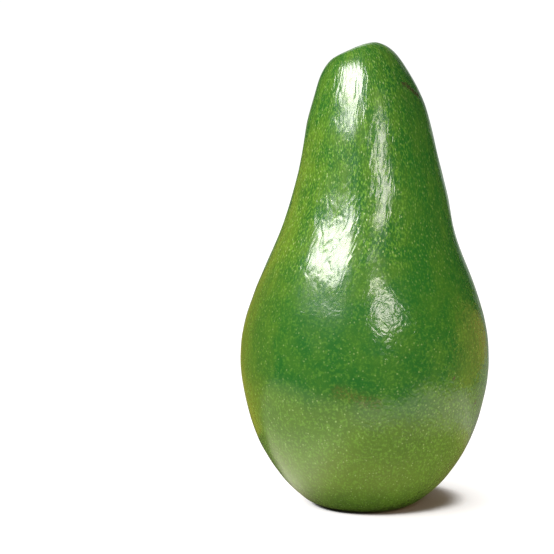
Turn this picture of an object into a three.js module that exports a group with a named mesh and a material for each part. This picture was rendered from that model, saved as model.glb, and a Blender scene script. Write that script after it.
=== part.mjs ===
// A whole green avocado: pear shaped and smooth skinned, standing on the blunt end of its belly,
// with the dry button of its stalk still seated in the small hollow at the top of the neck.
//
// Millimetres, +Z up. The origin is the middle of the flat spot that the fruit rests on. The front,
// which is the side with the fuller belly, faces -Y, and the fruit's left and right are -X and +X.

import * as THREE from 'three';
import { mergeVertices } from 'three/addons/utils/BufferGeometryUtils.js';

// Driving dimensions of the fruit. It is 125 high and 67 across, as its stations say.
const SPOT_RADIUS = 11; // the flat spot it rests on
const DEPTH_SHARE = { belly: 0.97, neck: 0.93 }; // front to back, as a share of the width
const NECK_BOW = 1.6; // how far the neck stands back from the belly
const NECK_CROOK = 1.8; // and how much further back its upper half does
const STEM_LEAN = THREE.MathUtils.degToRad(9); // how far the stem end faces to the back

// The outline from the front, from the flat spot up the sides and over into the lip of the stem
// hollow. A station is a cut through the fruit from its left edge to its right one: the cuts are
// level at the belly, and lean to the left as the neck does, with one shoulder above the other.
const STATIONS = [
  { left: [-SPOT_RADIUS, 0], right: [SPOT_RADIUS, 0] },
  { left: [-16.0, 1.1], right: [14.0, 1.6] },
  { left: [-19.9, 4.0], right: [18.2, 4.8] },
  { left: [-24.6, 9.2], right: [22.5, 9.5] },
  { left: [-30.2, 18.6], right: [27.8, 18.6] },
  { left: [-33.7, 29.6], right: [31.2, 29.6] },
  { left: [-34.8, 39.8], right: [32.4, 39.6] },
  { left: [-33.4, 51.2], right: [31.1, 51.2] },
  { left: [-29.4, 62.5], right: [27.3, 62.8] },
  { left: [-24.6, 73.0], right: [23.0, 73.2] },
  { left: [-21.2, 83.4], right: [20.9, 84.0] },
  { left: [-18.5, 93.4], right: [18.4, 94.4] },
  { left: [-16.9, 103.0], right: [16.2, 103.8] },
  { left: [-14.9, 111.2], right: [13.2, 112.0] },
  { left: [-12.9, 117.1], right: [9.4, 118.6] },
  { left: [-10.6, 120.1], right: [5.6, 123.2] },
  { left: [-9.2, 120.9], right: [1.6, 124.8] },
  { left: [-8.2, 121.0], right: [-1.7, 123.8] },
];

// Soft swellings and flats, which keep the fruit from looking turned. Each one is centred at a
// turn about the fruit, in degrees from its right side towards its back, and at a height.
const SWELLS = [
  { turn: 262, height: 33, turnSpread: 38, heightSpread: 17, out: 0.7 },
  { turn: 262, height: 49, turnSpread: 33, heightSpread: 8, out: -0.5 },
  { turn: 222, height: 66, turnSpread: 17, heightSpread: 16, out: 0.7 },
  { turn: 240, height: 73, turnSpread: 30, heightSpread: 8, out: 0.4 },
  { turn: 268, height: 71, turnSpread: 15, heightSpread: 8, out: 0.9 },
  { turn: 247, height: 97, turnSpread: 31, heightSpread: 9, out: 0.7 },
  { turn: 286, height: 110, turnSpread: 24, heightSpread: 18, out: 0.75 },
  { turn: 60, height: 50, turnSpread: 30, heightSpread: 20, out: 0.6 },
  { turn: 125, height: 30, turnSpread: 28, heightSpread: 15, out: -0.5 },
  { turn: 100, height: 84, turnSpread: 24, heightSpread: 17, out: 0.4 },
];

// The hollow at the stem end, inwards from its lip: shares of the lip's size, and the depth there.
const HOLLOW = [
  { share: 0.93, deep: 0.12 },
  { share: 0.85, deep: 0.5 },
  { share: 0.79, deep: 1.15 },
  { share: 0.72, deep: 1.7 },
  { share: 0.5, deep: 1.85 },
];

// The stalk's button: a woody disc with a waist, a ragged rim and a sunken top.
const BUTTON_GAP = 0.3; // between it and the floor of the hollow
const BUTTON_PROFILE = [
  [0, 0],
  [1.25, 0],
  [1.55, 0.25],
  [1.5, 0.6],
  [2.05, 0.95],
  [2.2, 1.3],
  [2.0, 1.65],
  [1.45, 1.8],
  [0.8, 1.55],
  [0, 1.45],
];
const BUTTON_SIDES = 26;
const BUTTON_RAGGED = 0.05; // of its radius

// Faces of the fruit: columns round it, and rows between two stations
const COLUMNS = 64;
const ROWS_PER_STATION = 3;
const SPOT_RINGS = [0.4, 0.85]; // inside the flat spot, as shares of its radius

const SKIN = new THREE.MeshStandardMaterial({ color: 0x4f8a2c, roughness: 0.25, metalness: 0 });
const BARK = new THREE.MeshStandardMaterial({ color: 0x6b4a2b, roughness: 0.85, metalness: 0 });

const FULL_TURN = Math.PI * 2;

// One edge of the outline as a smooth curve through its stations.
function edge(side) {
  const points = STATIONS.map((station) => {
    const [x, z] = station[side];
    return new THREE.Vector3(x, 0, z);
  });
  return new THREE.CatmullRomCurve3(points, false, 'centripetal');
}

const LEFT_EDGE = edge('left');
const RIGHT_EDGE = edge('right');

// The cut through the fruit at a share of the way from the flat spot to the lip of the hollow:
// its middle, and its two half axes, across and front to back.
function cut(way) {
  const left = LEFT_EDGE.getPoint(way);
  const right = RIGHT_EDGE.getPoint(way);
  const middle = left.clone().add(right).multiplyScalar(0.5);
  const across = right.clone().sub(left).multiplyScalar(0.5);
  const upNeck = THREE.MathUtils.smoothstep(way, 0.35, 0.75);
  const depthShare = THREE.MathUtils.lerp(DEPTH_SHARE.belly, DEPTH_SHARE.neck, upNeck);
  const lean = STEM_LEAN * THREE.MathUtils.smoothstep(way, 0.7, 1);
  const deep = new THREE.Vector3(0, Math.cos(lean), -Math.sin(lean));
  deep.multiplyScalar(across.length() * depthShare);
  middle.y = NECK_BOW * THREE.MathUtils.smoothstep(way, 0.2, 0.8);
  middle.y += NECK_CROOK * THREE.MathUtils.smoothstep(way, 0.53, 0.77);
  return { middle, across, deep };
}

// How far the skin stands out at a turn and height because of the swellings near it.
function swelling(turn, height) {
  return SWELLS.reduce((sum, swell) => {
    const apart = THREE.MathUtils.euclideanModulo(turn - swell.turn + 180, 360) - 180;
    const across = apart / swell.turnSpread;
    const up = (height - swell.height) / swell.heightSpread;
    return sum + swell.out * Math.exp(-across * across - up * up);
  }, 0);
}

// A ring of points on a cut, drawn in to a share of its size and sunk by a depth below it.
function ring({ middle, across, deep }, share = 1, sunk = 0) {
  const normal = across.clone().cross(deep).normalize();
  const points = [];
  for (let column = 0; column < COLUMNS; column++) {
    const angle = (FULL_TURN * column) / COLUMNS;
    const arm = across.clone().multiplyScalar(Math.cos(angle));
    arm.addScaledVector(deep, Math.sin(angle));
    const out = swelling(THREE.MathUtils.radToDeg(angle), middle.z);
    arm.multiplyScalar(share * (1 + out / arm.length()));
    points.push(middle.clone().add(arm).addScaledVector(normal, -sunk));
  }
  return points;
}

// A closed mesh from rings of points, with a cap about one more point at each end.
function closedMesh(first, rings, last) {
  const points = [first, ...rings.flat(), last];
  const at = (row, column) => 1 + row * COLUMNS + (column % COLUMNS);
  const faces = [];
  for (let column = 0; column < COLUMNS; column++) {
    faces.push(0, at(0, column + 1), at(0, column));
    for (let row = 0; row + 1 < rings.length; row++) {
      const corners = [at(row, column), at(row, column + 1), at(row + 1, column + 1), at(row + 1, column)];
      faces.push(corners[0], corners[1], corners[2], corners[0], corners[2], corners[3]);
    }
    faces.push(points.length - 1, at(rings.length - 1, column), at(rings.length - 1, column + 1));
  }
  const geometry = new THREE.BufferGeometry().setFromPoints(points);
  geometry.setIndex(faces);
  geometry.computeVertexNormals();
  return geometry;
}

// The fruit: the flat spot, the belly and neck up to the lip, and the hollow inside it.
function fruit() {
  const rows = ROWS_PER_STATION * (STATIONS.length - 1);
  const spot = cut(0);
  const lip = cut(1);
  const rings = [];
  for (const share of SPOT_RINGS) rings.push(ring(spot, share));
  for (let row = 0; row <= rows; row++) rings.push(ring(cut(row / rows)));
  for (const { share, deep } of HOLLOW) rings.push(ring(lip, share, deep));
  const floor = HOLLOW.at(-1).deep;
  const normal = lip.across.clone().cross(lip.deep).normalize();
  const floorMiddle = lip.middle.clone().addScaledVector(normal, -floor);
  const mesh = new THREE.Mesh(closedMesh(spot.middle, rings, floorMiddle), SKIN);
  mesh.name = 'fruit';
  return mesh;
}

// The button, turned about its own axis, with its rim pushed in and out, seated in the hollow.
function stemButton() {
  const profile = BUTTON_PROFILE.map(([radius, height]) => new THREE.Vector2(radius, height));
  const turned = new THREE.LatheGeometry(profile, BUTTON_SIDES);
  turned.deleteAttribute('normal');
  turned.deleteAttribute('uv');
  const geometry = mergeVertices(turned, 1e-3);
  const places = geometry.attributes.position;
  for (let i = 0; i < places.count; i++) {
    const angle = Math.atan2(places.getZ(i), places.getX(i));
    const ragged = 1 + BUTTON_RAGGED * (Math.sin(3 * angle + 0.7) + 0.6 * Math.sin(7 * angle));
    places.setX(i, places.getX(i) * ragged);
    places.setZ(i, places.getZ(i) * ragged);
  }
  geometry.computeVertexNormals();
  const lip = cut(1);
  const normal = lip.across.clone().cross(lip.deep).normalize();
  const mesh = new THREE.Mesh(geometry, BARK);
  mesh.name = 'stem_button';
  mesh.position.copy(lip.middle).addScaledVector(normal, BUTTON_GAP - HOLLOW.at(-1).deep);
  mesh.quaternion.setFromUnitVectors(new THREE.Vector3(0, 1, 0), normal);
  return mesh;
}

const avocado = new THREE.Group();
avocado.add(fruit(), stemButton());

export default avocado;
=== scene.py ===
"""A whole green avocado, standing on the blunt end of its belly on a white surface."""

import math

import bmesh
import bpy
import numpy as np
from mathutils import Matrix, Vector, noise


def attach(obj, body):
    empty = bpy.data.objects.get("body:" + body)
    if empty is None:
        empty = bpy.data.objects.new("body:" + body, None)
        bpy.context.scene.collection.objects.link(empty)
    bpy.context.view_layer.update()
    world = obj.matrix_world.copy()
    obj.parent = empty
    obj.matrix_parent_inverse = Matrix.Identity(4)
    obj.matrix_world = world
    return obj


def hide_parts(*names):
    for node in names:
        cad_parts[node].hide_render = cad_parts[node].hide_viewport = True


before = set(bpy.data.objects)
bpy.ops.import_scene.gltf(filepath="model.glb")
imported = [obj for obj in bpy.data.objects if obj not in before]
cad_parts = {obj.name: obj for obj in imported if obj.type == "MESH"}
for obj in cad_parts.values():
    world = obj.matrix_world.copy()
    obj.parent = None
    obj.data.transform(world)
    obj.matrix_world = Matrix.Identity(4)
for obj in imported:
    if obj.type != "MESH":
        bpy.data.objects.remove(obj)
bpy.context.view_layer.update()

MM = 0.001
WELD = 0.02 * MM  # corners of the solids nearer than this are one corner

# The camera: how far it looks down, its lens, and the point that it looks at
CAMERA_ELEVATION = 7
LENS = 120
AIM = Vector((-24.9, 0, 62.1)) * MM
AIM_DISTANCE = 497.5 * MM

# The skin's relief: the width and depth of each size of undulation, and of the ripples, which are
# longer on the neck than on the belly. It fades out at both ends of the fruit.
UNDULATIONS = ((18 * MM, 0.22 * MM), (7 * MM, 0.09 * MM))
RIPPLES = ((3.4 * MM, 0.07 * MM), (1.9 * MM, 0.035 * MM))
NECK_STRETCH = 2.2  # how much longer than wide the ripples are on the neck
BELLY_STRETCH = 1.5  # and on the belly
BELLY_TOP = (50 * MM, 74 * MM)  # the belly's grain turns into the neck's between these heights
SPOT_FADE = 6 * MM  # over this height above the surface that the fruit rests on
HOLLOW_FADE = 8 * MM  # and over this distance from the middle of the stem hollow
CORK_REACH = (2.9 * MM, 4.6 * MM)  # the corky ring round the stalk fades between these distances
GRAIN_RADIUS = 22 * MM  # the skin's grain is laid out on a cylinder of this radius

# Marks on the skin: where each begins and ends, and how far it fades out to each side
SCAR = (Vector((8.3, -5.6, 113.9)) * MM, Vector((12.6, -2.2, 110.9)) * MM, 1.7 * MM)
BRUISE = (Vector((-9.5, -31.9, 36.7)) * MM, Vector((0.1, -32.6, 33.5)) * MM, 3 * MM)

# Dark specks on the skin: the middle and the radius of each
SPECKS = (
    (Vector((27.4, -15.1, 30.6)) * MM, 1.2 * MM),
    (Vector((20.9, -24.4, 38.7)) * MM, 1.0 * MM),
    (Vector((-12.0, 28.5, 47.0)) * MM, 0.8 * MM),
)

# The stalk's split fibres, which run out from its middle, and its crumbs
FIBRE_WIDTH = 1 / 4.5  # as a share of the distance from the middle
FIBRE_DEPTH = 0.09 * MM
FIBRE_START = (0.2 * MM, 1.2 * MM)  # they deepen between these distances from the middle
CRUMB_WIDTH = 0.45 * MM
CRUMB_DEPTH = 0.05 * MM


def srgb(red, green, blue):
    """A picture's colour, from 0 to 255, as the linear light that a shader takes."""
    shares = (value / 255 for value in (red, green, blue))
    return (*(s / 12.92 if s <= 0.04045 else ((s + 0.055) / 1.055) ** 2.4 for s in shares), 1)


def smoothstep(value, low, high):
    """0 below low, 1 above high and a smooth rise between them."""
    share = np.clip((value - low) / (high - low), 0, 1)
    return share * share * (3 - 2 * share)


# Meshes

def quad_mesh(node):
    """A CAD solid's surface with its corners joined and its triangles paired back into quads."""
    mesh = bmesh.new()
    mesh.from_mesh(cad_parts[node].data)
    bmesh.ops.remove_doubles(mesh, verts=mesh.verts, dist=WELD)
    bmesh.ops.join_triangles(
        mesh,
        faces=mesh.faces,
        angle_face_threshold=math.radians(60),
        angle_shape_threshold=math.radians(80),
        topology_influence=1.5,
    )
    mesh.verts.ensure_lookup_table()
    return mesh


def poles(mesh):
    """The lower and the upper end of a mesh made of rings, where all its columns meet."""
    ends = sorted(mesh.verts, key=lambda vert: len(vert.link_edges))[-2:]
    return sorted(ends, key=lambda vert: vert.co.z)


def rings(mesh, pole):
    """The mesh's points in rings, outwards from a pole, as lists of points."""
    seen = {pole}
    ring = [pole]
    found = []
    while ring:
        found.append(ring)
        ahead = {edge.other_vert(vert) for vert in ring for edge in vert.link_edges}
        ring = sorted(ahead - seen, key=lambda vert: vert.index)
        seen.update(ring)
    return found


def turn_about(ring, vert):
    """A point's turn about its ring's middle, in radians, from the fruit's back towards its left."""
    places = np.array([other.co for other in ring])
    middle = (places.max(0) + places.min(0)) / 2
    half = (places.max(0) - places.min(0)) / 2
    across, deep = ((vert.co[axis] - middle[axis]) / half[axis] for axis in (0, 1))
    return math.atan2(-across, deep) % math.tau


def round_and_up(mesh):
    """Each point's share of a turn about the fruit, and its way up along the skin from the spot."""
    ringed = rings(mesh, poles(mesh)[0])
    columns = len(ringed[1])
    turn, length = {}, {}
    walked = 0
    below, reach_below = np.array(ringed[0][0].co), 0
    for ring in ringed:
        here = np.mean([vert.co for vert in ring], axis=0)
        reach = np.mean([math.dist(vert.co, here) for vert in ring])
        walked += math.hypot(math.dist(here, below), reach - reach_below)
        below, reach_below = here, reach
        for vert in ring:
            length[vert] = walked
            if len(ring) > 1:
                turn[vert] = round(turn_about(ring, vert) * columns / math.tau) % columns / columns
    return turn, length


def lay_out(mesh):
    """A map for the baked finish, with its seam at the back, and the grain that the finish follows."""
    layer = mesh.loops.layers.uv.new("OFBake")
    grain = mesh.verts.layers.float_vector.new("grain")
    turn, length = round_and_up(mesh)
    whole = max(length.values())
    for face in mesh.faces:
        turns = [turn[vert] for vert in face.verts if vert in turn]
        seam = max(turns) - min(turns) > 0.5
        turns = [value + 1 if seam and value < 0.5 else value for value in turns]
        for loop in face.loops:
            own = turn.get(loop.vert, sum(turns) / len(turns))
            if seam and own < 0.5:
                own += 1
            loop[layer].uv = (own, length[loop.vert] / whole)
    for vert in mesh.verts:
        angle = turn.get(vert, 0) * math.tau
        vert[grain] = (GRAIN_RADIUS * math.sin(angle), GRAIN_RADIUS * math.cos(angle), length[vert])


def subdivided(mesh, name, levels):
    """A smooth piece from a mesh, subdivided."""
    data = bpy.data.meshes.new(name)
    mesh.to_mesh(data)
    mesh.free()
    piece = bpy.data.objects.new(name, data)
    bpy.context.scene.collection.objects.link(piece)
    smoother = piece.modifiers.new("smooth", "SUBSURF")
    smoother.levels = smoother.render_levels = levels
    bpy.context.view_layer.objects.active = piece
    bpy.ops.object.modifier_apply(modifier=smoother.name)
    piece.data.shade_smooth()
    return piece


def places_of(piece):
    """A mesh's points as rows of three numbers."""
    places = np.empty(len(piece.data.vertices) * 3)
    piece.data.vertices.foreach_get("co", places)
    return places.reshape(-1, 3)


def grain_of(piece):
    """Each point's place in the skin's grain, as rows of three numbers."""
    grain = np.empty(len(piece.data.vertices) * 3)
    piece.data.attributes["grain"].data.foreach_get("vector", grain)
    return grain.reshape(-1, 3)


def push_out(piece, distances):
    """Moves each point of a piece along its normal."""
    normals = np.array([vert.normal for vert in piece.data.vertices])
    moved = places_of(piece) + normals * distances[:, None]
    piece.data.vertices.foreach_set("co", moved.ravel())
    piece.data.update()


def mark(piece, name, values):
    """Keeps one number for each point of a piece, which its material reads by name."""
    layer = piece.data.attributes.new(name, "FLOAT", "POINT")
    layer.data.foreach_set("value", values.astype(np.float32))


def from_point(places, point):
    """How far each place is from a point."""
    return np.linalg.norm(places - np.array(point), axis=1)


def from_segment(places, start, end):
    """How far each place is from a straight line between two points."""
    along = np.array(end - start)
    share = np.clip((places - np.array(start)) @ along / (along @ along), 0, 1)
    return np.linalg.norm(places - np.array(start) - share[:, None] * along, axis=1)


def noise_at(places, width):
    """Smooth noise at each of many places, from about -0.5 to 0.5, in swells of one width."""
    return np.array([noise.noise(Vector(place) / width) for place in places])


def fruit_relief(piece, places):
    """How far each point of the skin stands out because of its undulations and ripples."""
    relief = np.zeros(len(places))
    for width, depth in UNDULATIONS:
        relief += depth * noise_at(places, width)
    grain = grain_of(piece)
    neck = smoothstep(places[:, 2], *BELLY_TOP)
    for width, depth in RIPPLES:
        long = noise_at(grain * (1, 1, 1 / NECK_STRETCH), width)
        short = noise_at(grain * (1, 1, 1 / BELLY_STRETCH), width)
        relief += depth * (neck * long + (1 - neck) * short)
    return relief


def fruit_skin():
    """The whole fruit's skin, with its relief, and the marks that its material reads."""
    mesh = quad_mesh("fruit")
    lay_out(mesh)
    hollow_floor = np.array(poles(mesh)[1].co)
    piece = subdivided(mesh, "fruit_skin", 2)
    places = places_of(piece)
    from_hollow = from_point(places, hollow_floor)
    free = smoothstep(places[:, 2], 0.5 * MM, SPOT_FADE)
    free *= smoothstep(from_hollow, 0.5 * HOLLOW_FADE, HOLLOW_FADE)
    push_out(piece, fruit_relief(piece, places) * free)
    mark(piece, "cork", 1 - smoothstep(from_hollow, *CORK_REACH))
    for name, (start, end, width) in (("scar", SCAR), ("bruise", BRUISE)):
        mark(piece, name, 1 - smoothstep(from_segment(places, start, end), 0, width))
    specks = [1 - smoothstep(from_point(places, middle), 0, radius) for middle, radius in SPECKS]
    mark(piece, "speck", np.maximum.reduce(specks))
    return piece


def stalk_button():
    """The dry woody button of the stalk, with split fibres that run out from its middle."""
    mesh = quad_mesh("stem_button")
    low, high = (np.array(pole.co) for pole in poles(mesh))
    piece = subdivided(mesh, "stalk_button", 3)
    axis = (high - low) / np.linalg.norm(high - low)
    places = places_of(piece)
    arms = places - low
    arms -= (arms @ axis)[:, None] * axis
    reach = np.linalg.norm(arms, axis=1)
    ways = arms / np.maximum(reach, 0.05 * MM)[:, None]
    fibres = FIBRE_DEPTH * noise_at(ways, FIBRE_WIDTH) * smoothstep(reach, *FIBRE_START)
    crumbs = CRUMB_DEPTH * noise_at(places, CRUMB_WIDTH)
    push_out(piece, fibres + crumbs)
    return piece


# Materials

class Nodes:
    """A tree of shader nodes. A value is a number, a colour, or the output of another node."""

    def __init__(self, tree):
        self.tree = tree

    def put(self, socket, value):
        if isinstance(value, bpy.types.NodeSocket):
            self.tree.links.new(value, socket)
        else:
            socket.default_value = value

    def node(self, kind, values, output=0, **settings):
        node = self.tree.nodes.new(kind)
        for key, value in settings.items():
            setattr(node, key, value)
        for key, value in values.items():
            self.put(node.inputs[key], value)
        return node.outputs[output]

    def stored(self, name, output="Fac"):
        return self.node("ShaderNodeAttribute", {}, output, attribute_name=name)

    def place(self):
        return self.node("ShaderNodeTexCoord", {}, "Object")

    def part(self, vector, axis):
        return self.node("ShaderNodeSeparateXYZ", {0: vector}, axis)

    def along(self, vector, way):
        values = {0: vector, 1: way}
        return self.node("ShaderNodeVectorMath", values, "Value", operation="DOT_PRODUCT")

    def length(self, vector):
        return self.node("ShaderNodeVectorMath", {0: vector}, "Value", operation="LENGTH")

    def stretched(self, vector, scale):
        return self.node("ShaderNodeMapping", {"Vector": vector, "Scale": scale})

    def slanted(self, vector, slant):
        return self.node("ShaderNodeMapping", {"Vector": vector, "Rotation": (0, slant, 0)})

    def noise(self, vector, size, detail=2, roughness=0.5, distortion=0):
        values = {"Vector": vector, "Scale": 1 / size, "Detail": detail}
        values |= {"Roughness": roughness, "Distortion": distortion}
        return self.node("ShaderNodeTexNoise", values)

    def rise(self, value, low, high, bottom=0, top=1):
        values = {"Value": value, "From Min": low, "From Max": high, "To Min": bottom, "To Max": top}
        return self.node("ShaderNodeMapRange", values, interpolation_type="SMOOTHSTEP")

    def math(self, kind, first, second):
        return self.node("ShaderNodeMath", {0: first, 1: second}, operation=kind)

    def times(self, first, *others):
        for other in others:
            first = self.math("MULTIPLY", first, other)
        return first

    def mix(self, share, first, second):
        values = {0: share, 6: first, 7: second}
        return self.node("ShaderNodeMix", values, 2, data_type="RGBA")

    def blend(self, share, first, second):
        return self.node("ShaderNodeMix", {0: share, 2: first, 3: second}, 0, data_type="FLOAT")

    def bump(self, height, depth, under=None):
        values = {"Height": height, "Distance": depth}
        if under is not None:
            values["Normal"] = under
        return self.node("ShaderNodeBump", values)

    def ray_is(self, kind):
        return self.node("ShaderNodeLightPath", {}, f"Is {kind} Ray")


class Shader(Nodes):
    """A material, with its surface's sockets."""

    def __init__(self, name):
        self.material = bpy.data.materials.new(name)
        self.material.use_nodes = True
        super().__init__(self.material.node_tree)
        self.surface = self.tree.nodes["Principled BSDF"].inputs


DEEP_GREEN = srgb(30, 84, 26)
LEAF_GREEN = srgb(35, 90, 28)
OLIVE_GREEN = srgb(66, 96, 28)
# Painted bounce light from the floor, low on the belly
BOUNCE_LIT_OLIVE = srgb(87, 107, 41)
YELLOW_GREEN = srgb(90, 122, 32)
FLECK_GREEN = srgb(105, 150, 50)
SPECK_GREEN = srgb(142, 165, 100)
CORK_BROWN = srgb(96, 70, 42)
CORK_PALE = srgb(150, 120, 78)
SCAR_BROWN = srgb(62, 56, 32)
BRUISE_BROWN = srgb(92, 72, 36)
STALK_BROWN = srgb(62, 44, 28)
STALK_PALE = srgb(128, 98, 64)
STALK_DARK = srgb(34, 24, 16)

# Zones of the skin: the heights that each one fades in between
HIGH_UP = (42 * MM, 72 * MM)
LOW_DOWN = (40 * MM, 28 * MM)
# Painted bounce light from the floor: a paler olive band fades in downwards between the first two
# heights and fades out towards the foot between the next two
BOUNCE_BAND_TOP = (27 * MM, 14 * MM)
BOUNCE_BAND_FOOT = (4 * MM, 11 * MM)
SHOULDER_TOP = (100 * MM, 84 * MM)

# The same across the fruit, from right to left
# Painted bounce light: the paler band low down is weaker towards the right, the side away from the key
# light
BOUNCE_BAND_SIDE = (16 * MM, 2 * MM)
# Painted light: the left side, where the key light falls, gets more yellow clouds, flecks and dots, so
# it reads lighter
PAINTED_LIT_SIDE = (13 * MM, 1 * MM)
LEFT_SIDE = (3 * MM, -6 * MM)

SKIN_ROUGHNESS = 0.19
CORK_ROUGHNESS = 0.75
SKIN_IOR = 1.55
WAX_WEIGHT = 0.12
WAX_ROUGHNESS = 0.4
CREASE_SLANT = math.radians(9)
CREASE_DEPTH = 0.13 * MM  # of the creases on the neck and the pebbles on the belly
DOT_DEPTH = 0.012 * MM
CORK_DEPTH = 0.2 * MM
STALK_ROUGHNESS = 0.85
STALK_DEPTH = 0.12 * MM


class Rind(Shader):
    """Glossy green rind, with a grain that is drawn out along the neck and rounder on the belly."""

    def __init__(self):
        super().__init__("avocado_skin")
        place = self.place()
        self.across = self.part(place, "X")
        self.height = self.part(place, "Z")
        patches = self.rise(self.noise(place, 24 * MM), 0.3, 0.7, -3 * MM, 3 * MM)
        self.wavering = self.math("ADD", self.height, patches)
        self.low_down = self.rise(self.wavering, *LOW_DOWN)
        self.belly = self.rise(self.height, *reversed(BELLY_TOP))
        self.painted_lit = self.rise(self.across, *PAINTED_LIT_SIDE)
        self.ragged = self.noise(place, 0.7 * MM, 4, 0.65)
        grain = self.stored("grain", "Vector")
        self.streaked = self.stretched(grain, (1, 1, 0.6))
        self.rounded = self.stretched(grain, (1.3, 1.3, 0.85))
        self.fine = self.stretched(grain, (1, 1, 0.5))
        self.creased = self.stretched(self.slanted(grain, CREASE_SLANT), (1, 1, 0.35))
        neck_dots = self.lenticels(self.streaked, 0.7 * MM, 0.33, 0.5)
        belly_dots = self.lenticels(self.rounded, 0.95 * MM, 0.27, 0.45)
        self.dots = self.blend(self.belly, neck_dots, belly_dots)

    def lenticels(self, vector, size, reach, share):
        """Small pale dots, one in each cell of a random net, and a share of them bright."""
        cell = {"Vector": vector, "Scale": 1 / size, "Randomness": 1}
        net = self.node("ShaderNodeTexVoronoi", cell, "Distance", feature="F1")
        tone = self.node("ShaderNodeTexVoronoi", cell, "Color", feature="F1")
        chance = self.node("ShaderNodeSeparateColor", {0: tone}, "Red")
        dot = self.rise(net, reach * 0.4, reach, 1, 0)
        bright = self.rise(chance, 1 - 1.6 * share, 1, 0.3, 1)
        return self.times(dot, bright)

    def greens(self):
        """Deep green at the middle, brighter up the neck and olive low down, with yellow clouds, and
        painted light: a paler band of floor bounce low down and more yellow on the key-lit left.
        """
        color = self.mix(self.rise(self.wavering, *HIGH_UP), DEEP_GREEN, LEAF_GREEN)
        color = self.mix(self.low_down, color, OLIVE_GREEN)
        # Painted bounce light from the floor: paler olive low on the belly, off the very foot and weaker
        # on the right
        pale = self.times(self.rise(self.wavering, *BOUNCE_BAND_TOP), self.rise(self.height, *BOUNCE_BAND_FOOT))
        pale = self.times(pale, self.rise(self.across, *BOUNCE_BAND_SIDE, 0.2, 0.75))
        color = self.mix(pale, color, BOUNCE_LIT_OLIVE)
        clouds = self.rise(self.noise(self.streaked, 4.5 * MM, 3, 0.6), 0.38, 0.66)
        # Painted light: the yellow clouds are stronger on the key-lit left side of the neck
        yellow = self.blend(self.belly, self.blend(self.painted_lit, 0.2, 0.5), 0.2)
        return self.mix(self.times(clouds, yellow), color, YELLOW_GREEN)

    def flecked(self, color):
        """A colour with fine flecks over it: streaks on the neck and spots on the belly, more on the
        key-lit left as painted light.
        """
        streaks = self.noise(self.fine, 0.45 * MM, 1.5, 0.6)
        spots = self.noise(self.rounded, 0.65 * MM, 1.5, 0.6)
        flecks = self.rise(self.blend(self.belly, streaks, spots), 0.46, 0.7)
        # Painted light: more flecks on the key-lit left side of the neck
        on_neck = self.blend(self.painted_lit, 0.3, 0.75)
        on_belly = self.blend(self.low_down, 0.22, 0.4)
        share = self.times(flecks, self.blend(self.belly, on_neck, on_belly))
        return self.mix(share, color, FLECK_GREEN)

    def dotted(self, color):
        """A colour with the pale dots over it, more of them on the key-lit left of the neck as painted
        light.
        """
        # Painted light: more dots on the key-lit left side of the neck
        on_neck = self.blend(self.painted_lit, 0.45, 0.9)
        on_belly = self.blend(self.low_down, 0.4, 0.6)
        share = self.times(self.dots, self.blend(self.belly, on_neck, on_belly))
        return self.mix(share, color, SPECK_GREEN)

    def frayed(self, name, fray, low, high):
        """A stored mark with a ragged edge."""
        edge = self.math("ADD", self.stored(name), self.rise(self.ragged, 0.3, 0.7, -fray, fray))
        return self.rise(edge, low, high)

    def relief(self, rough):
        """Creases on the neck, deepest on its left shoulder, pebbles on the belly, and the dots."""
        left = self.rise(self.across, *LEFT_SIDE)
        shoulder = self.times(left, self.rise(self.height, *SHOULDER_TOP))
        wrinkles = self.noise(self.creased, 1.7 * MM, 1, 0.6, 0.8)
        wrinkles = self.times(wrinkles, self.blend(shoulder, 0.85, 1.35))
        pebbles = self.noise(self.streaked, 1.8 * MM, 1.5, 0.6, 1.8)
        pebbles = self.times(pebbles, self.blend(left, 1.3, 0.45))
        relief = self.bump(self.blend(self.belly, wrinkles, pebbles), CREASE_DEPTH)
        relief = self.bump(self.dots, DOT_DEPTH, relief)
        return self.bump(self.times(rough, self.ragged), CORK_DEPTH, relief)


def skin():
    """The rind with its corky ring, its scar, its bruise and its specks."""
    rind = Rind()
    cork = rind.frayed("cork", 0.25, 0.35, 0.6)
    spots = rind.rise(rind.stored("speck"), 0.2, 0.7)
    dark = rind.math("MAXIMUM", rind.frayed("scar", 0.45, 0.4, 0.75), spots)
    bruise = rind.times(rind.stored("bruise"), rind.rise(rind.ragged, 0.35, 0.65, 0, 0.45))
    color = rind.dotted(rind.flecked(rind.greens()))
    cork_color = rind.mix(rind.rise(rind.ragged, 0.4, 0.62), CORK_BROWN, CORK_PALE)
    color = rind.mix(cork, color, cork_color)
    color = rind.mix(rind.times(dark, 0.8), color, SCAR_BROWN)
    color = rind.mix(bruise, color, BRUISE_BROWN)
    rind.put(rind.surface["Base Color"], color)
    rough = rind.math("MAXIMUM", cork, rind.times(dark, 0.4))
    rind.put(rind.surface["Roughness"], rind.blend(rough, SKIN_ROUGHNESS, CORK_ROUGHNESS))
    rind.surface["IOR"].default_value = SKIN_IOR
    rind.surface["Coat Weight"].default_value = WAX_WEIGHT
    rind.surface["Coat Roughness"].default_value = WAX_ROUGHNESS
    rind.put(rind.surface["Normal"], rind.relief(rough))
    return rind.material


def bark():
    """Dry stalk: dull brown, paler where it is split."""
    shader = Shader("dry_stalk")
    place = shader.place()
    grain = shader.noise(place, 0.6 * MM, 4, 0.65)
    color = shader.mix(shader.rise(grain, 0.36, 0.64), STALK_BROWN, STALK_PALE)
    flecks = shader.rise(shader.noise(place, 0.25 * MM, 3), 0.58, 0.68, 0, 0.6)
    shader.put(shader.surface["Base Color"], shader.mix(flecks, color, STALK_DARK))
    shader.surface["Roughness"].default_value = STALK_ROUGHNESS
    shader.put(shader.surface["Normal"], shader.bump(grain, STALK_DEPTH))
    return shader.material


# The object

fruit = fruit_skin()
fruit.data.materials.append(skin())
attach(fruit, "root")
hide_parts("fruit")

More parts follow.
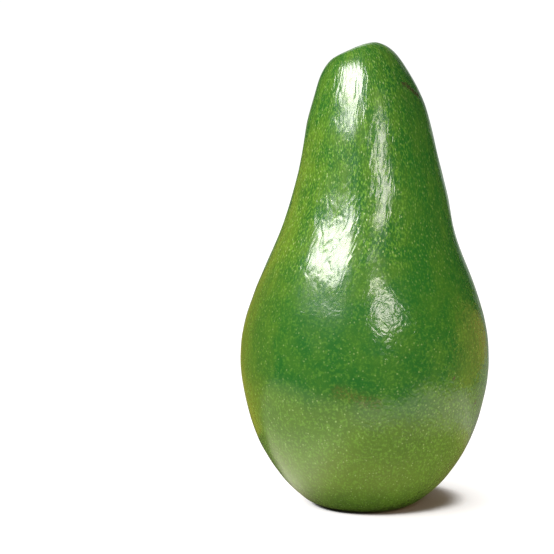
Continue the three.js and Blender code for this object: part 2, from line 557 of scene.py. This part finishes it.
button = stalk_button()
button.data.materials.append(bark())
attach(button, "root")
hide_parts("stem_button")


# The studio

FRUIT_MIDDLE = Vector((0, 0, 60)) * MM
KEY = (-51, 43)  # the key light's azimuth and elevation

WHITE = (1, 1, 1)
WARM_WHITE = (1, 0.98, 0.92)
WARM = (1, 0.92, 0.85)
AMBER = (1, 0.7, 0.3)

# The floor's colour in the shade, how far from the fruit the shade reaches, and the elevation
# that a point of the floor looks up at, towards the key light, to find how open it is
SHADE_COLOR = (0.33, 0.28, 0.26, 1)
SHADE_REACH = 23 * MM
SHADE_ELEVATION = 45
SHADE_SAMPLES = 40

# Level sheets that the fruit reflects, as their left, right, front and back edges in metres
TABLE = (-0.2, 0.15, -0.11, 0.12)
TABLE_BEHIND = (-0.2, 0.5, 0.12, 0.9)
UNDER_FLOOR = -1 * MM  # their height, just under the floor

# Standing sheets that it reflects, as their corners
BACKDROP = [(-0.2, 0.9, 0), (0.5, 0.9, 0), (0.5, 0.9, 0.6), (-0.2, 0.9, 0.6)]
RIGHT_WALL = [
    (0.17, -0.034, 0),
    (0.17, 0.22, 0),
    (0.17, 0.22, 0.04),
    (0.17, 0.02, 0.098),
    (0.17, -0.028, 0.045),
]
LEFT_WALL = [
    (-0.085, -0.02, 0.032),
    (-0.06, 0.027, 0),
    (-0.045, 0.055, 0),
    (-0.045, 0.055, 0.1),
    (-0.085, -0.02, 0.13),
]

# The air's glow: what soft light it gives, how much of it is reflected, and what the camera sees
AIR_TINT = (0.78, 0.96, 1, 1)
AIR_GLOW = 0.2
AIR_REFLECTED = 0.03
AIR_SHOWN = 1.05


def seen_from(azimuth, elevation, distance):
    """A place round the fruit: azimuth 0 is in front of it and 90 to its right, in degrees."""
    turn, rise = math.radians(azimuth), math.radians(elevation)
    flat = math.cos(rise)
    way = Vector((math.sin(turn) * flat, -math.cos(turn) * flat, math.sin(rise)))
    return FRUIT_MIDDLE + way * distance


def softbox(name, azimuth, elevation, width, height, radiance, color=WHITE, distance=1.0):
    """A rectangular soft light that faces the fruit."""
    light = bpy.data.lights.new(name, "AREA")
    light.shape = "RECTANGLE"
    light.size = width
    light.size_y = height
    light.color = color
    light.energy = radiance * math.pi * width * height
    lamp = bpy.data.objects.new(name, light)
    lamp.location = seen_from(azimuth, elevation, distance)
    lamp.rotation_euler = (FRUIT_MIDDLE - lamp.location).to_track_quat("-Z", "Y").to_euler()
    lamp.visible_camera = False
    bpy.context.scene.collection.objects.link(lamp)
    return lamp


def level(left, right, front, back, height=0):
    """The corners of a level rectangle."""
    return [(left, front, height), (right, front, height), (right, back, height), (left, back, height)]


def sheet(name, corners):
    """A flat sheet of the studio, with its material's nodes."""
    data = bpy.data.meshes.new(name)
    data.from_pydata(corners, [], [range(len(corners))])
    piece = bpy.data.objects.new(name, data)
    bpy.context.scene.collection.objects.link(piece)
    shader = Shader(name)
    shader.surface["Roughness"].default_value = 1
    shader.surface["Specular IOR Level"].default_value = 0
    data.materials.append(shader.material)
    return piece, shader


def floor():
    """The white surface. It glows, except close to the fruit on the side away from the key light."""
    piece, shader = sheet("floor", level(-3, 3, -3, 3))
    piece.visible_glossy = False
    shader.surface["Base Color"].default_value = SHADE_COLOR
    lean = seen_from(KEY[0], SHADE_ELEVATION, 1) - FRUIT_MIDDLE
    towards_key = shader.node("ShaderNodeCombineXYZ", {"X": lean.x, "Y": lean.y, "Z": lean.z})
    sky = {"Distance": SHADE_REACH, "Normal": towards_key}
    openness = shader.node("ShaderNodeAmbientOcclusion", sky, "AO", samples=SHADE_SAMPLES)
    away = shader.length(shader.place())
    lit = shader.rise(openness, 0.41, 0.48)
    half_lit = shader.rise(openness, 0.45, 0.75, 0.8, 1)
    shown = shader.times(shader.rise(away, 0.15, 0.7, 0.95, 1.05), lit, half_lit)
    under = shader.rise(away, 12 * MM, 45 * MM, 0.2, 1)
    open_floor = shader.rise(openness, 0.38, 0.75)
    bounced = shader.times(shader.rise(away, 0.08, 0.35, 1.6, 0.3), under, open_floor)
    shader.surface["Emission Color"].default_value = (*WHITE, 1)
    glow = shader.blend(shader.ray_is("Camera"), bounced, shown)
    shader.put(shader.surface["Emission Strength"], glow)


def card(name, corners, color, strength):
    """A glowing sheet that only shows in reflections."""
    piece, shader = sheet(name, corners)
    piece.visible_camera = False
    piece.visible_diffuse = False
    piece.visible_shadow = False
    shader.surface["Base Color"].default_value = (0, 0, 0, 1)
    shader.surface["Emission Color"].default_value = (*color, 1)
    shader.surface["Emission Strength"].default_value = strength
    return shader


def table_reflection():
    """The surface as the fruit reflects it: dark under it and to its right, and pale to its left."""
    shader = card("table_reflected", level(*TABLE, UNDER_FLOOR), WHITE, 1)
    place = shader.place()
    behind = shader.along(place, (0.3, 1, 0))
    away = shader.length(place)
    left = shader.rise(shader.part(place, "X"), -5 * MM, -30 * MM)
    far_off = shader.rise(behind, 40 * MM, 70 * MM, 1, 0.3)
    shaded = shader.times(shader.rise(away, 45 * MM, 85 * MM, 0.2, 1.1), far_off)
    in_front = shader.rise(behind, -10 * MM, 10 * MM, 1, 0.05)
    lit = shader.times(shader.rise(away, 30 * MM, 80 * MM, 1.5, 0.6), in_front)
    clear = shader.rise(away, 13 * MM, 28 * MM, 0.1, 1)
    glow = shader.times(shader.blend(left, shaded, lit), clear)
    shader.put(shader.surface["Emission Strength"], glow)
    tint = shader.mix(shader.rise(away, 55 * MM, 80 * MM), (1, 0.8, 0.35, 1), (0.9, 0.8, 0.9, 1))
    shader.put(shader.surface["Emission Color"], shader.mix(left, tint, (1, 0.97, 0.75, 1)))


def studio_air():
    """White to the camera, pale and cool for soft light, and dark in reflections, like an unlit room."""
    world = bpy.data.worlds.new("studio")
    world.use_nodes = True
    air = Nodes(world.node_tree)
    back = world.node_tree.nodes["Background"].inputs
    to_camera = air.ray_is("Camera")
    glow = air.blend(to_camera, AIR_GLOW, AIR_SHOWN)
    air.put(back["Strength"], air.blend(air.ray_is("Glossy"), glow, AIR_REFLECTED))
    air.put(back["Color"], air.mix(to_camera, AIR_TINT, (*WHITE, 1)))
    bpy.context.scene.world = world
    bpy.context.scene.view_settings.view_transform = "Standard"


floor()
table_reflection()
card("table_behind_reflected", level(*TABLE_BEHIND, UNDER_FLOOR), (0.95, 1, 0.9), 0.35)
card("backdrop_reflected", BACKDROP, (0.9, 1, 0.9), 0.6)
card("right_reflected", RIGHT_WALL, (1, 0.64, 0.18), 0.7)
card("left_reflected", LEFT_WALL, (1, 0.8, 0.12), 0.5)

softbox("key", *KEY, 0.58, 0.3, 24, WARM_WHITE)
softbox("key_halo", *KEY, 0.74, 0.34, 2.5)
softbox("front_fill", 17, 28.5, 0.3, 0.12, 19, WARM)
softbox("back_light", 190, 45, 0.4, 0.4, 2)
right_bounce = softbox("right_bounce", 65, -8, 0.1, 0.06, 3.6, AMBER, 0.12)
right_bounce.visible_glossy = False

studio_air()


# The camera

camera_data = bpy.data.cameras.new("camera")
camera_data.lens = LENS
camera = bpy.data.objects.new("camera", camera_data)
tilt = math.radians(CAMERA_ELEVATION)
camera.location = AIM + Vector((0, -math.cos(tilt), math.sin(tilt))) * AIM_DISTANCE
camera.rotation_euler = (math.pi / 2 - tilt, 0, 0)
bpy.context.scene.collection.objects.link(camera)
bpy.context.scene.camera = camera
